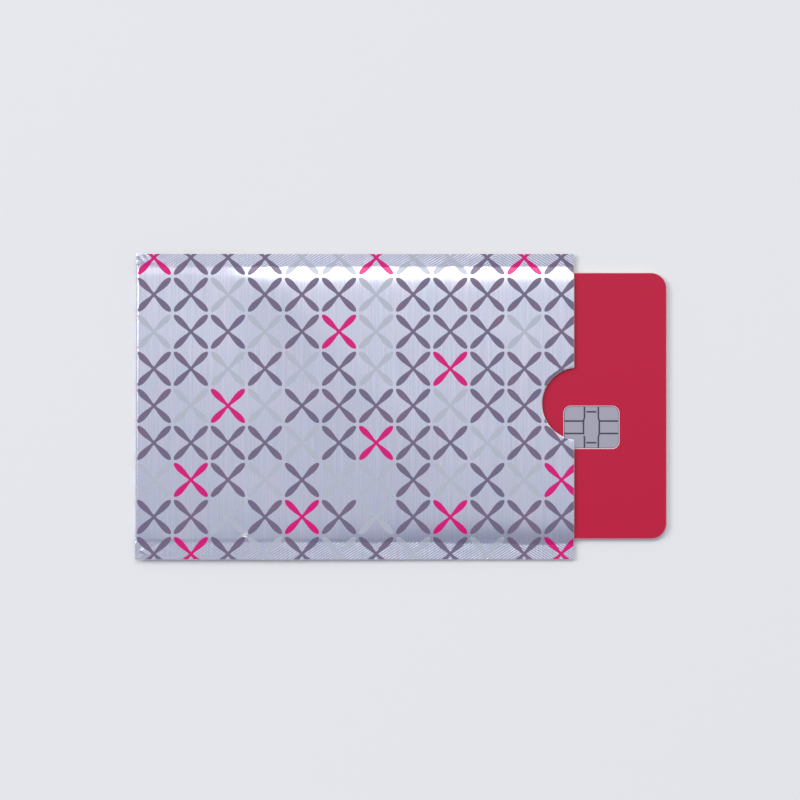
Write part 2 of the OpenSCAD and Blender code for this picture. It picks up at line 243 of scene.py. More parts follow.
foldX = foldBox[0].x / mm
panelX = foldBox[1].x / mm
mouthX = frontBox[1].x / mm
lowerEdge = foldBox[0].y / mm
upperEdge = foldBox[1].y / mm
lowerSeal = lowerFilmBox[1].y / mm
upperSeal = upperFilmBox[0].y / mm
sealZ = (upperFilmBox[0].z + upperFilmBox[1].z) / 2 / mm
filmDepth = (upperFilmBox[1].z - upperFilmBox[0].z) / mm
crownZ = frontBox[1].z / mm
cardLower = faceBox[0].y / mm
cardUpper = faceBox[1].y / mm
cardTop = faceBox[1].z / mm
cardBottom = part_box("card_back_overlay")[0].z / mm

sleeveForm = {
    "foil": 0.04,             # thickness of the foil
    "paper": 0.12,            # thickness of the paper behind it
    "sealZLeft": 0.985,       # height of the seals at the fold, where no card spreads the sheets
    "topLeft": 1.25,          # top of the front sheet there
    "upperLift": (-27, -17),  # the front sheet rises over the card between these, beside the upper seal
    "lowerLift": (-22, 36),   # and beside the lower one
    "overCard": 0.05,         # gap over the card's edges
    "underCard": 0.045,
    "upperStraight": 0.3,     # share of the height over the card that the shoulder's straight slope takes up
    "upperSpread": 0.95,      # distance over which the shoulder levels out from there
    "lowerStraight": 0.0,
    "lowerSpread": 1.5,
    "footRound": 0.05,        # rounding of the back's shoulders, in height
    "waves": 0.10,            # how much the shoulders' width wanders
    "foldLean": 0.28,         # the fold isn't quite square: its upper end lies this far in
    "leanFade": 6,            # which is lost over this distance
    "swell": 0.05,            # slow rise and fall of the front sheet
    "foilInset": 0.05,        # the white paper shows this far past the foil at a cut edge
    "edgeRoll": 0.03,         # the die rolls the cut edges of the mouth and the notch down
    "edgeRollWidth": 0.3,
    "meetInside": 0.6,        # the knurled strips carry on this far inside the seal line
    "sealWander": 0.16,       # the pressed area's inner edge isn't straight
    "sealDrop": 0.4,          # and the lower one runs down towards the mouth
    "sealSway": 0.02,         # both rise and fall slowly
    "sealCurl": 0.18,         # the outer edge of the upper one turns up by this much, less by the fold
}

# the thumb notch: its middle lies beyond the mouth and above the middle of the sleeve
notch = {"radius": 7.35, "beyond": 0.86, "rise": 0.6, "rimSteps": 44}

wall = sleeveForm["foil"] + sleeveForm["paper"]
foldDepth = panelX - foldX


def ease(value, low, high):
    t = min(1.0, max(0.0, (value - low) / (high - low)))
    return t * t * (3 - 2 * t)


def softMin(a, b, rounding):
    h = max(0.0, rounding - abs(a - b)) / rounding
    return min(a, b) - h * h * rounding / 4


def softMax(a, b, rounding):
    return -softMin(-a, -b, rounding)


def mixed(a, b, t):
    return a + (b - a) * t


# short folds pressed into the front sheet: x, y, direction in degrees, length, half width, height
creases = [
    (-22.2, -26.3, 38, 2.6, 0.16, 0.07),
    (-22.2, -26.3, 128, 2.2, 0.14, 0.06),
    (-22.2, -26.3, 205, 1.8, 0.15, 0.05),
    (-22.2, -26.3, 316, 1.7, 0.14, 0.05),
    (-43.6, 30.5, -48, 3.0, 0.32, 0.08),
    (-42.4, 30.8, -55, 3.0, 0.32, 0.07),
    (-43.0, -29.2, -35, 1.8, 0.3, 0.06),
    (-43.0, -29.2, 62, 1.5, 0.3, 0.05),
]

# faint ones that run in from the two seals by turns
shoulderCreases = {
    "seed": 41,
    "count": 26,
    "between": (-30, 43),
    "inside": 0.2,            # where they start, from the seal
    "turn": 22,               # most that they slant
    "length": (2.5, 7),
    "halfWidth": (0.35, 0.9),
    "height": (0.008, 0.026),
}
draw = random.Random(shoulderCreases["seed"])
for creaseNumber in range(shoulderCreases["count"]):
    onUpper = creaseNumber % 2 == 0
    inside, turn = shoulderCreases["inside"], shoulderCreases["turn"]
    creases.append((
        draw.uniform(*shoulderCreases["between"]),
        upperSeal - inside if onUpper else lowerSeal + inside,
        (-90 if onUpper else 90) + draw.uniform(-turn, turn),
        draw.uniform(*shoulderCreases["length"]),
        draw.uniform(*shoulderCreases["halfWidth"]),
        draw.choice([-1, 1]) * draw.uniform(*shoulderCreases["height"]),
    ))


def creaseHeight(x, y):
    total = 0.0
    for cx, cy, turn, length, half, height in creases:
        dx, dy = x - cx, y - cy
        if abs(dx) > length + 2 or abs(dy) > length + 2:
            continue
        c, s = math.cos(math.radians(turn)), math.sin(math.radians(turn))
        along, across = dx * c + dy * s, dy * c - dx * s
        if along < -4 * half or along > length:
            continue
        fade = ease(along, -2 * half, 0) * (1 - ease(along, 0.15 * length, length))
        total += height * fade * math.exp(-((across / half) ** 2))
    return total


# how far the sheet has risen from its height at the fold to its height over the card
def lift(x, y):
    across = min(1.0, max(0.0, (y - lowerSeal) / (upperSeal - lowerSeal)))
    (lowerStart, lowerEnd), (upperStart, upperEnd) = sleeveForm["lowerLift"], sleeveForm["upperLift"]
    return ease(x, mixed(lowerStart, upperStart, across), mixed(lowerEnd, upperEnd, across))


def sealHeight(x, y):
    sway = sleeveForm["sealSway"] * noise.noise(Vector((x / 9, 3.1, 0)))
    return mixed(sleeveForm["sealZLeft"], sealZ, lift(x, y)) + sway


def sealCurl(x, y):
    share = max(0.0, y - upperSeal) / (upperEdge - upperSeal)
    return sleeveForm["sealCurl"] * share * (0.6 + 0.4 * ease(x, -10, 25))


# inner edges of the two pressed seals, which wander every 2 mm or so; the lower one also more slowly
def upperLine(x):
    return upperSeal + sleeveForm["sealWander"] * noise.noise(Vector((x / 1.6, 4.0, 2.0)))


def lowerLine(x):
    quick, slow = noise.noise(Vector((x / 1.6, -4.0, 2.0))), noise.noise(Vector((x / 8, 1.0, 9.0)))
    wander = sleeveForm["sealWander"] * (quick + slow)
    return lowerSeal - sleeveForm["sealDrop"] * (ease(x, 10, 44) - 0.3) + wander


# a shoulder's height at a distance in from its seal: straight up past the card's edge, then levelling out
def shoulder(inside, play, base, top, straight, spreadOut):
    clear = cardTop + wall + sleeveForm["overCard"]
    slope = (clear - base) / play
    bend = clear + straight * (top - clear)
    past = inside - (bend - base) / slope
    if past < 0:
        return base + slope * max(0.0, inside)
    return top - (top - bend) * math.exp(-past / spreadOut)


# height of the sleeve's upper outside
def frontHeight(x, y):
    form = sleeveForm
    base = sealHeight(x, y) + filmDepth / 2 + wall
    top = mixed(form["topLeft"], crownZ - form["swell"] / 2, lift(x, y))
    top += form["swell"] * noise.noise(Vector((x / 10, y / 14, 5.0)))
    wave = noise.noise(Vector((x / 7, y / 30, 0))) + 0.4 * noise.noise(Vector((x / 2.3, 7.7, 0)))
    wander = 1 + form["waves"] * wave
    upper, lower = upperLine(x), lowerLine(x)
    fromUpper = shoulder((upper - y) * wander, upper - cardUpper, base, top,
                         form["upperStraight"], form["upperSpread"])
    fromLower = shoulder((y - lower) * wander, cardLower - lower, base, top,
                         form["lowerStraight"], form["lowerSpread"])
    return min(min(fromUpper, fromLower) + creaseHeight(x, y) + sealCurl(x, y), crownZ)


# height of the sleeve's lower outside
def backHeight(x, y):
    form = sleeveForm
    base = sealHeight(x, y) - filmDepth / 2 - wall
    clear = cardBottom - wall - form["underCard"]
    upper = base - (base - clear) / (upperSeal - cardUpper) * (upperSeal - y)
    lower = base - (base - clear) / (cardLower - lowerSeal) * (y - lowerSeal)
    height = max(0.0, softMax(softMax(upper, lower, form["footRound"]), 0.0, form["footRound"]))
    return max(0.0, softMin(height, base, form["footRound"])) + sealCurl(x, y)


# where the sheet is cut off at the mouth, with the thumb notch
def mouthCut(y, inset):
    dy = abs(y - notch["rise"])
    reach = notch["radius"] + inset
    if dy >= reach:
        return mouthX - inset
    return min(mouthX - inset, mouthX + notch["beyond"] - math.sqrt(reach ** 2 - dy ** 2))


# how far the cut edge of the front sheet is rolled down
def edgeRoll(x, y, inset):
    toMouth = mouthX - inset - x
    toNotch = math.hypot(mouthX + notch["beyond"] - x, notch["rise"] - y) - notch["radius"] - inset
    share = 1 - max(0.0, min(toMouth, toNotch)) / sleeveForm["edgeRollWidth"]
    return sleeveForm["edgeRoll"] * max(0.0, share) ** 2


# A place along the sheet is a pair: ("front", x), ("fold", angle) or ("back", x).
# The sheet runs from the mouth over the front, round the fold and back to the mouth.
foldArc = 2.0                 # mm of print that the fold takes up
notchColumnX = 37.3           # the rows give way to the notch between here and the mouth


def sheetPoint(place, y, depth, inset, relief):
    kind, at = place
    lean = sleeveForm["foldLean"] * (y - lowerEdge) / (upperEdge - lowerEdge)
    if kind == "fold":
        top = frontHeight(panelX, y) - depth + relief(panelX, y, 1)
        bottom = backHeight(panelX, y) + depth - relief(panelX, y, -1)
        angle = math.radians(at)
        x = panelX + lean - (foldDepth - depth) * math.cos(angle)
        z = (top + bottom) / 2 + (top - bottom) / 2 * math.sin(angle)
        return (x, y, z), panelX - foldArc * (90 - at) / 180
    x = at + lean * (1 - ease(at, panelX, panelX + sleeveForm["leanFade"]))
    if at > notchColumnX:
        x = notchColumnX + (at - notchColumnX) * (mouthCut(y, inset) - notchColumnX) / (mouthX - notchColumnX)
    if kind == "front":
        return (x, y, frontHeight(x, y) - depth + relief(at, y, 1) - edgeRoll(x, y, inset)), x
    return (x, y, backHeight(x, y) + depth - relief(at, y, -1)), 2 * panelX - foldArc - x


def noRelief(x, y, side):
    return 0.0


def spread(low, high, step):
    count = max(1, math.ceil((high - low) / step - 1e-6))
    return [low + (high - low) * i / count for i in range(count + 1)]


# columns from the fold to the mouth, the last ones close together for the rolled edge
def sheetColumns(step, mouthStep):
    rollStart = mouthX - sleeveForm["edgeRollWidth"]
    near = spread(notchColumnX, rollStart, mouthStep)[1:]
    return spread(panelX, notchColumnX, step) + near + [rollStart + 0.5 * sleeveForm["edgeRollWidth"], mouthX]


def alongSheet(xs, foldSteps):
    folds = [("fold", 90 - 180 * i / foldSteps) for i in range(1, foldSteps)]
    return [("front", x) for x in reversed(xs)] + folds + [("back", x) for x in xs]


# rows across the sheet, closer together on the shoulders and even round the notch's rim
def acrossSheet(low, high, step, shoulderStep, inset):
    reach = notch["radius"] + inset
    cusp = math.sqrt(reach ** 2 - (notch["beyond"] + inset) ** 2)
    limit = math.degrees(math.asin(cusp / reach))
    turns = spread(-limit, limit, 2 * limit / notch["rimSteps"])
    rim = [notch["rise"] + reach * math.sin(math.radians(a)) for a in turns]
    shoulderEnds = lowerSeal + 3, upperSeal - 3.4
    rows = spread(low, shoulderEnds[0], shoulderStep)
    rows += spread(shoulderEnds[0], rim[0], step)[1:] + rim[1:]
    rows += spread(rim[-1], shoulderEnds[1], step)[1:]
    return rows + spread(shoulderEnds[1], high, shoulderStep)[1:]


# the print on the foil
printLook = {
    "pitch": 7.505,           # mm from cross to cross, measured
    "firstColumn": -40.62,    # middle of the crosses nearest to the fold
    "firstRow": 30.18,        # middle of the uppermost crosses
    "petalLength": 4.82,
    "columns": 12,            # the print is taken to repeat after the front
    "rows": 9,
    "backShift": 4,           # rows that the repeat has moved on the back
}

# columns of the crosses in the two lighter inks, row by row from the upper edge; the rest are dark
pinkCrosses = [(0, 6, 10), (), (5,), (8,), (2,), (6,), (1, 11), (4, 8), (1, 11)]
paleCrosses = [(4, 5, 7, 8), (2, 6), (0, 3, 6, 10), (2, 4, 6), (1, 3, 8), (4, 9), (0, 3, 5, 6, 8, 10), (2, 6),
               (3, 5, 7, 9)]


# 0 is the dark ink, 0.5 the pale and 1 the pink
def inkTone(flatX, y):
    column = math.floor((flatX - printLook["firstColumn"]) / printLook["pitch"] + 0.5)
    row = math.floor((printLook["firstRow"] - y) / printLook["pitch"] + 0.5)
    if column < 0:
        row += printLook["backShift"]
    column %= printLook["columns"]
    row %= printLook["rows"]
    return 1.0 if column in pinkCrosses[row] else 0.5 if column in paleCrosses[row] else 0.0


def addPiece(name, mesh, body, materials):
    for material in materials:
        mesh.materials.append(material)
    piece = bpy.data.objects.new(name, mesh)
    scene.collection.objects.link(piece)
    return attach(piece, body)


def meshOf(name, points, faces, sharpAngle=50):
    mesh = bpy.data.meshes.new(name)
    mesh.from_pydata([(x * mm, y * mm, z * mm) for x, y, z in points], [], faces)
    work = bmesh.new()
    work.from_mesh(mesh)
    bmesh.ops.recalc_face_normals(work, faces=work.faces)
    work.to_mesh(mesh)
    work.free()
    mesh.shade_smooth()
    mesh.set_sharp_from_angle(angle=math.radians(sharpAngle))
    return mesh


# A closed sheet between an outer and an inner surface, each a function of the place along it and the row.
# Where it is ridged, the outer faces are halved along the ridges, which turns says for each place
def closedSheet(name, places, rows, innerRows, outer, inner, turns=None, sharpAngle=50):
    points, flats, faces = [], [], []
    for surface, surfaceRows in ((outer, rows), (inner, innerRows)):
        for place in places:
            for y in surfaceRows:
                point, flatX = surface(place, y)
                points.append(point)
                flats.append((flatX, y, 0.0))
    m, k, start = len(rows), len(innerRows), len(places) * len(rows)
    for i in range(len(places) - 1):
        for j in range(m - 1):
            a = i * m + j
            corners = (a, a + 1, a + m + 1, a + m)
            if turns is None:
                faces.append(corners)
            else:
                turn = turns(places[i])
                corners = corners[turn:] + corners[:turn]
                faces += [corners[:3], (corners[0], *corners[2:])]
        for j in range(k - 1):
            a = start + i * k + j
            faces.append((a + k, a + k + 1, a + 1, a))
        a, b = i * m, start + i * k
        faces.append((a, a + m, b + k, b))
        faces.append((a + m - 1, b + k - 1, b + 2 * k - 1, a + 2 * m - 1))
    for outerEnd, innerEnd in ((0, start), ((len(places) - 1) * m, start + (len(places) - 1) * k)):
        if m == k:
            faces += [(outerEnd + j, outerEnd + j + 1, innerEnd + j + 1, innerEnd + j) for j in range(m - 1)]
        else:
            faces.append([outerEnd + j for j in range(m)] + [innerEnd + j for j in reversed(range(k))])
    mesh = meshOf(name, points, faces, sharpAngle)
    flat = mesh.attributes.new("flat", "FLOAT_VECTOR", "POINT")
    flat.data.foreach_set("vector", [value for triple in flats for value in triple])
    tones = []
    for face in mesh.polygons:
        xs, ys, _ = zip(*(flats[v] for v in face.vertices))
        tones.append(inkTone(sum(xs) / len(xs), sum(ys) / len(ys)))
    mesh.attributes.new("inkTone", "FLOAT", "FACE").data.foreach_set("value", tones)
    return mesh


foilLook = {
    "metal": "#DEE3F5",        # aluminium, cooled by the lacquer over it
    "metalWarm": "#E5E3F4",
    "darkInk": "#6E6784",
    "darkInkWarm": "#796881",
    "paleInk": "#B6BAC7",
    "pinkInk": "#D70079",
    "inkCover": 0.9,           # the foil gleams a little through the ink
    "foilRoughness": (0.29, 0.19),
    "inkRoughness": 0.3,
    "edgeSoftness": 0.025,     # mm
    "edgeRagged": 0.05,        # mm
    "raggedScale": 3.0,        # per mm, so its teeth are some 0.3 mm long
    "driftScale": 0.16,        # per mm, patches of some 6 mm
    "streakWidth": 0.22,       # mm, rolling marks of the foil, which run across the sleeve
    "streakLength": 16,        # mm
    "streakDepth": 0.008,      # mm
    "streakShades": (0.8, 1.02),
    "coat": 0.6,
    "coatRoughness": 0.08,
}


# half width of a petal in mm, from the cross's middle to the tip, of which the ragged edge takes a little
petalOutline = [(0.0, 0.42), (0.06, 0.36), (0.13, 0.36), (0.3, 0.5), (0.5, 0.64), (0.64, 0.69), (0.78, 0.64),
                (0.9, 0.49), (0.965, 0.31), (1.0, 0.0)]


# Aluminium foil, rolled and then printed with thin lacquer inks: a cool satin mirror with fine
# rolling marks, on which the inks lie flat and a little duller than the metal
def makePrintedFoil(look):
    material, tree = startMaterial("aluminiumFoilRolledAndPrinted")
    flat = addNode(tree, "ShaderNodeAttribute", {"attribute_name": "flat"})
    tone = addNode(tree, "ShaderNodeAttribute", {"attribute_name": "inkTone"})

    # place inside a cross, folded onto one quarter: x and y from its middle in shares of the pitch
    pitch = printLook["pitch"]
    firstMiddle = (printLook["firstColumn"], printLook["firstRow"], 0)
    fromFirst = addNode(tree, "ShaderNodeVectorMath", {"operation": "SUBTRACT", 1: firstMiddle}, {
        0: flat.outputs["Vector"]})
    share = addNode(tree, "ShaderNodeVectorMath", {"operation": "DIVIDE", 1: (pitch, pitch, 1)},
                    {0: fromFirst.outputs[0]})
    shifted = addNode(tree, "ShaderNodeVectorMath", {"operation": "ADD", 1: (0.5, 0.5, 0)}, {
        0: share.outputs[0]})
    part = addNode(tree, "ShaderNodeVectorMath", {"operation": "FRACTION"}, {0: shifted.outputs[0]})
    centred = addNode(tree, "ShaderNodeVectorMath", {"operation": "SUBTRACT", 1: (0.5, 0.5, 0)}, {
        0: part.outputs[0]})
    folded = addNode(tree, "ShaderNodeVectorMath", {"operation": "ABSOLUTE"}, {0: centred.outputs[0]})
    sides = addNode(tree, "ShaderNodeSeparateXYZ", {}, {0: folded.outputs[0]})

    # along a petal and across it
    together = addNode(tree, "ShaderNodeMath", {"operation": "ADD"}, {
        0: sides.outputs[0], 1: sides.outputs[1]})
    halfDiagonal = pitch / math.sqrt(2)
    alongPetal = addNode(tree, "ShaderNodeMath", {
        "operation": "MULTIPLY", 1: halfDiagonal / printLook["petalLength"]}, {0: together.outputs[0]})
    apart = addNode(tree, "ShaderNodeMath", {"operation": "SUBTRACT"}, {
        0: sides.outputs[0], 1: sides.outputs[1]})
    apartAlways = addNode(tree, "ShaderNodeMath", {"operation": "ABSOLUTE"}, {0: apart.outputs[0]})
    acrossPetal = addNode(tree, "ShaderNodeMath", {"operation": "MULTIPLY", 1: halfDiagonal}, {
        0: apartAlways.outputs[0]})

    # the petal's outline, ragged by a little noise
    profile = addNode(tree, "ShaderNodeFloatCurve", {}, {"Value": alongPetal.outputs[0]})
    setCurve(profile, petalOutline)
    overEdge = addNode(tree, "ShaderNodeMath", {"operation": "SUBTRACT"}, {
        0: acrossPetal.outputs[0], 1: profile.outputs[0]})
    wobble = addNode(tree, "ShaderNodeTexNoise", {"Scale": look["raggedScale"], "Detail": 2.0}, {
        "Vector": flat.outputs["Vector"]})
    ragged = addNode(tree, "ShaderNodeMath", {"operation": "MULTIPLY_ADD", 1: look["edgeRagged"]}, {
        0: wobble.outputs["Fac"], 2: overEdge.outputs[0]})
    soft, inward = look["edgeSoftness"], look["edgeRagged"] / 2
    printed = addNode(tree, "ShaderNodeMapRange", {
        "interpolation_type": "SMOOTHSTEP", "From Min": -soft - inward, "From Max": soft - inward,
        "To Min": 1.0, "To Max": 0.0}, {"Value": ragged.outputs[0]})

    # ink and foil drift between bluish and pinkish, within a petal and from cross to cross
    drift = addNode(tree, "ShaderNodeTexNoise", {
        "Scale": look["driftScale"], "Detail": 4.0, "Roughness": 0.7}, {"Vector": flat.outputs["Vector"]})
    driftSpread = addNode(tree, "ShaderNodeMapRange", {"From Min": 0.38, "From Max": 0.62},
                          {"Value": drift.outputs["Fac"]})
    darkInk = addNode(tree, "ShaderNodeMix", {
        "data_type": "RGBA", 6: hexToLinear(look["darkInk"]), 7: hexToLinear(look["darkInkWarm"])},
        {0: driftSpread.outputs[0]})
    isLight = addNode(tree, "ShaderNodeMath", {"operation": "GREATER_THAN", 1: 0.25}, {
        0: tone.outputs["Fac"]})
    isPink = addNode(tree, "ShaderNodeMath", {"operation": "GREATER_THAN", 1: 0.75}, {
        0: tone.outputs["Fac"]})
    paleInk = addNode(tree, "ShaderNodeMix", {"data_type": "RGBA", 7: hexToLinear(look["paleInk"])},
                      {0: isLight.outputs[0], 6: darkInk.outputs[2]})
    ink = addNode(tree, "ShaderNodeMix", {"data_type": "RGBA", 7: hexToLinear(look["pinkInk"])},
                  {0: isPink.outputs[0], 6: paleInk.outputs[2]})

    # rolling marks: noise drawn out across the sleeve
    streakSize = (look["streakWidth"], look["streakLength"], 1)
    streakPlace = addNode(tree, "ShaderNodeVectorMath", {"operation": "DIVIDE", 1: streakSize}, {
        0: flat.outputs["Vector"]})
    streak = addNode(tree, "ShaderNodeTexNoise", {"Scale": 1.0, "Detail": 4.0, "Roughness": 0.6},
                     {"Vector": streakPlace.outputs[0]})
    darkest, brightest = look["streakShades"]
    streakShade = addNode(tree, "ShaderNodeMapRange", {
        **usualNoise, "To Min": darkest, "To Max": brightest}, {"Value": streak.outputs["Fac"]})
    metalTone = addNode(tree, "ShaderNodeMix", {
        "data_type": "RGBA", 6: hexToLinear(look["metal"]), 7: hexToLinear(look["metalWarm"])},
        {0: driftSpread.outputs[0]})
    metal = addNode(tree, "ShaderNodeVectorMath", {"operation": "SCALE"},
                    {0: metalTone.outputs[2], "Scale": streakShade.outputs[0]})
    colour = addNode(tree, "ShaderNodeMix", {"data_type": "RGBA"},
                     {0: printed.outputs[0], 6: metal.outputs[0], 7: ink.outputs[2]})
    metallic = addNode(tree, "ShaderNodeMath", {"operation": "MULTIPLY_ADD", 1: -look["inkCover"], 2: 1.0},
                       {0: printed.outputs[0]})
    roughest, smoothest = look["foilRoughness"]
    metalRough = addNode(tree, "ShaderNodeMapRange", {
        **usualNoise, "To Min": roughest, "To Max": smoothest}, {"Value": streak.outputs["Fac"]})
    roughness = addNode(tree, "ShaderNodeMix", {"data_type": "FLOAT", 3: look["inkRoughness"]},
                        {0: printed.outputs[0], 2: metalRough.outputs[0]})
    bump = addNode(tree, "ShaderNodeBump", {"Strength": 0.6, "Distance": look["streakDepth"] * mm},
                   {"Height": streak.outputs["Fac"]})
    surface = addNode(tree, "ShaderNodeBsdfPrincipled", {
        "Coat Weight": look["coat"], "Coat Roughness": look["coatRoughness"], "Specular IOR Level": 0.1},
        {"Base Color": colour.outputs[2], "Metallic": metallic.outputs[0], "Roughness": roughness.outputs[0],
         "Normal": bump.outputs["Normal"]})
    addNode(tree, "ShaderNodeOutputMaterial", {}, {"Surface": surface.outputs[0]})
    return material


# A surface of one substance whose tone, gloss and height vary with a grain of so many mm along x, y and z.
# Most are finer on the real one and are drawn as coarse as shows
def makeGrained(name, look):
    material, tree = startMaterial(name)
    place = addNode(tree, "ShaderNodeTexCoord")
    scaled = addNode(tree, "ShaderNodeVectorMath", {
        "operation": "DIVIDE", 1: tuple(size * mm for size in look["grain"])}, {0: place.outputs["Object"]})
    grain = addNode(tree, "ShaderNodeTexNoise", {"Scale": 1.0, "Detail": 4.0, "Roughness": 0.6},
                    {"Vector": scaled.outputs[0]})
    spreadOut = addNode(tree, "ShaderNodeMapRange", usualNoise, {"Value": grain.outputs["Fac"]})
    darker, paler = (hexToLinear(code) for code in look["colours"])
    colour = addNode(tree, "ShaderNodeMix", {"data_type": "RGBA", 6: darker, 7: paler}, {
        0: spreadOut.outputs[0]})
    low, high = look["roughness"]
    roughness = addNode(tree, "ShaderNodeMapRange", {"To Min": low, "To Max": high}, {
        "Value": spreadOut.outputs[0]})
    bump = addNode(tree, "ShaderNodeBump", {"Strength": 1.0, "Distance": look["depth"] * mm},
                   {"Height": grain.outputs["Fac"]})
    surface = addNode(tree, "ShaderNodeBsdfPrincipled", look["fixed"], {
        "Base Color": colour.outputs[2], "Roughness": roughness.outputs[0], "Normal": bump.outputs["Normal"]})
    addNode(tree, "ShaderNodeOutputMaterial", {}, {"Surface": surface.outputs[0]})
    return material


printedFoil = makePrintedFoil(foilLook)

# Uncoated bleached kraft paper: chalk white, matt, with a faint felt of fibres
linerPaper = makeGrained("kraftPaperBleachedUncoated", {
    "grain": (0.25, 0.6, 0.2), "colours": ("#EFEDE8", "#FAF9F6"), "roughness": (0.82, 0.92), "depth": 0.012,
    "fixed": {"Specular IOR Level": 0.3, "IOR": 1.5},
})

# Polyethylene heat-seal film, melted between the sheets: a milky hairline on the cut edge
sealFilm = makeGrained("polyethyleneFilmHeatSealed", {
    "grain": (0.4, 0.4, 0.4), "colours": ("#E4E0D6", "#F0EDE4"), "roughness": (0.35, 0.5), "depth": 0.004,
    "fixed": {"IOR": 1.51},
})
print("sleeve materials made")


# Knurled jaws press the two seals. The real ridges are about 0.36 mm apart; they are drawn 0.45 mm apart
# so that they show
knurl = {
    "along": 0.42,            # from ridge corner to ridge corner along the sleeve
    "across": 0.27,           # and across it, which lays the ridges about 33 degrees to the edge
    "depth": 0.03,
    "from": 0.05,             # distance past the seal line where the ridges start
    "turnsBack": (29, 34),    # from here on towards the mouth, above and below, they slant the other way
    "faint": 0.4,             # depth at the fold, as a share
    "crumple": 0.07,          # loose puckers in the two corners by the fold
}
lowerMeet = lowerSeal + sleeveForm["meetInside"]
upperMeet = upperSeal - sleeveForm["meetInside"]
knurlColumns = spread(panelX, mouthX, knurl["along"])
upperKnurlRows = spread(upperMeet, upperEdge - sleeveForm["foilInset"], knurl["across"])
lowerKnurlRows = spread(lowerEdge + sleeveForm["foilInset"], lowerMeet, knurl["across"])


# Every second corner of the grid stands up, so that the halved faces between them make straight ridges.
# They are pressed unevenly, in patches of some 2 mm, and the corners by the fold are crumpled
def knurlRelief(x, y, side):
    beyond = y - upperLine(x) if y > 0 else lowerLine(x) - y
    if beyond < knurl["from"]:
        return 0.0
    rows = upperKnurlRows if y > 0 else lowerKnurlRows
    column = round((x - panelX) / (knurlColumns[1] - panelX))
    row = round((y - rows[0]) / (rows[1] - rows[0]))
    patchy = 0.8 + 0.8 * noise.noise(Vector((x / 2.4, y / 1.2, side * 9.0)))
    force = mixed(knurl["faint"], 1.0, ease(x, -30, 12)) * patchy
    height = knurl["depth"] * force * ((column + row) % 2 - 0.4)
    corner = math.exp(-(((x - foldX) / 6) ** 2))
    return height + 0.5 * knurl["crumple"] * corner * noise.noise(Vector((x / 1.1, y / 0.9, side * 6.0)))


# mm between the points of the foil's mesh, and its steps round the fold
foilMesh = {"columns": 0.5, "mouthColumns": 0.42, "rows": 0.62, "shoulderRows": 0.16, "foldSteps": 12}


def buildFoil():
    foil, inset = sleeveForm["foil"], sleeveForm["foilInset"]
    columns = sheetColumns(foilMesh["columns"], foilMesh["mouthColumns"])
    places = alongSheet(columns, foilMesh["foldSteps"])
    rows = acrossSheet(lowerMeet, upperMeet, foilMesh["rows"], foilMesh["shoulderRows"], inset)
    mesh = closedSheet("foilFace", places, rows, rows,
                       lambda place, y: sheetPoint(place, y, 0.0, inset, noRelief),
                       lambda place, y: sheetPoint(place, y, foil, inset, noRelief))
    face = addPiece("foilFace", mesh, "sleeve", [printedFoil])
    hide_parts("front_foil", "back_foil", "end_fold_foil")

    for name, rows, turnsBack, seam in (
        ("upperSealFoil", upperKnurlRows, knurl["turnsBack"][0], "upper_seam"),
        ("lowerSealFoil", lowerKnurlRows, knurl["turnsBack"][1], "lower_seam"),
    ):
        mesh = closedSheet(name, alongSheet(knurlColumns, 10), rows, rows,
                           lambda place, y: sheetPoint(place, y, 0.0, inset, knurlRelief),
                           lambda place, y: sheetPoint(place, y, foil, inset, noRelief),
                           lambda place: 0 if place[0] != "fold" and place[1] > turnsBack else 1, 4)
        strip = addPiece(name, mesh, "sleeve", [printedFoil])
        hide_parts(seam + "_front_foil", seam + "_back_foil")


linerMesh = {
    "columns": 0.75,
    "mouthColumns": 0.5,
    "rows": 0.7,
    "shoulderRows": 0.22,
    "foldSteps": 12,
    "pastLower": 0.65,        # the close rows go this far past the seal lines, which wander
    "pastUpper": 0.25,
}


def buildLiner():
    foil = sleeveForm["foil"]
    columns = sheetColumns(linerMesh["columns"], linerMesh["mouthColumns"])
    rows = acrossSheet(lowerSeal - linerMesh["pastLower"], upperSeal + linerMesh["pastUpper"],
                       linerMesh["rows"], linerMesh["shoulderRows"], 0.0)
    rows = [lowerEdge] + rows + [upperEdge]
    mesh = closedSheet("paperLiner", alongSheet(columns, linerMesh["foldSteps"]), rows, rows,
                       lambda place, y: sheetPoint(place, y, foil, 0.0, noRelief),
                       lambda place, y: sheetPoint(place, y, wall, 0.0, noRelief))
    liner = addPiece("paperLiner", mesh, "sleeve", [linerPaper])
    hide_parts("front_paper", "back_paper", "end_fold_paper",
                "upper_seam_front_paper", "upper_seam_back_paper",
                "lower_seam_front_paper", "lower_seam_back_paper")


filmMesh = {"start": 0.1, "columns": 0.8}  # mm from the inside of the fold, and from column to column


def buildSealFilms():
    def filmFace(side):
        def face(place, y):
            x = place[1]
            return (x, y, sealHeight(x, y) + sealCurl(x, y) + side * filmDepth / 2), x
        return face

    startX = foldX + wall + filmMesh["start"]
    places = [("film", x) for x in reversed(spread(startX, mouthX, filmMesh["columns"]))]
    for name, low, high, solid in (
        ("upperSealFilm", upperSeal, upperEdge, "upper_seal_film"),
        ("lowerSealFilm", lowerEdge, lowerSeal, "lower_seal_film"),
    ):
        mesh = closedSheet(name, places, [low, high], [low, high], filmFace(1), filmFace(-1))
        film = addPiece(name, mesh, "sleeve", [sealFilm])
        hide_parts(solid)


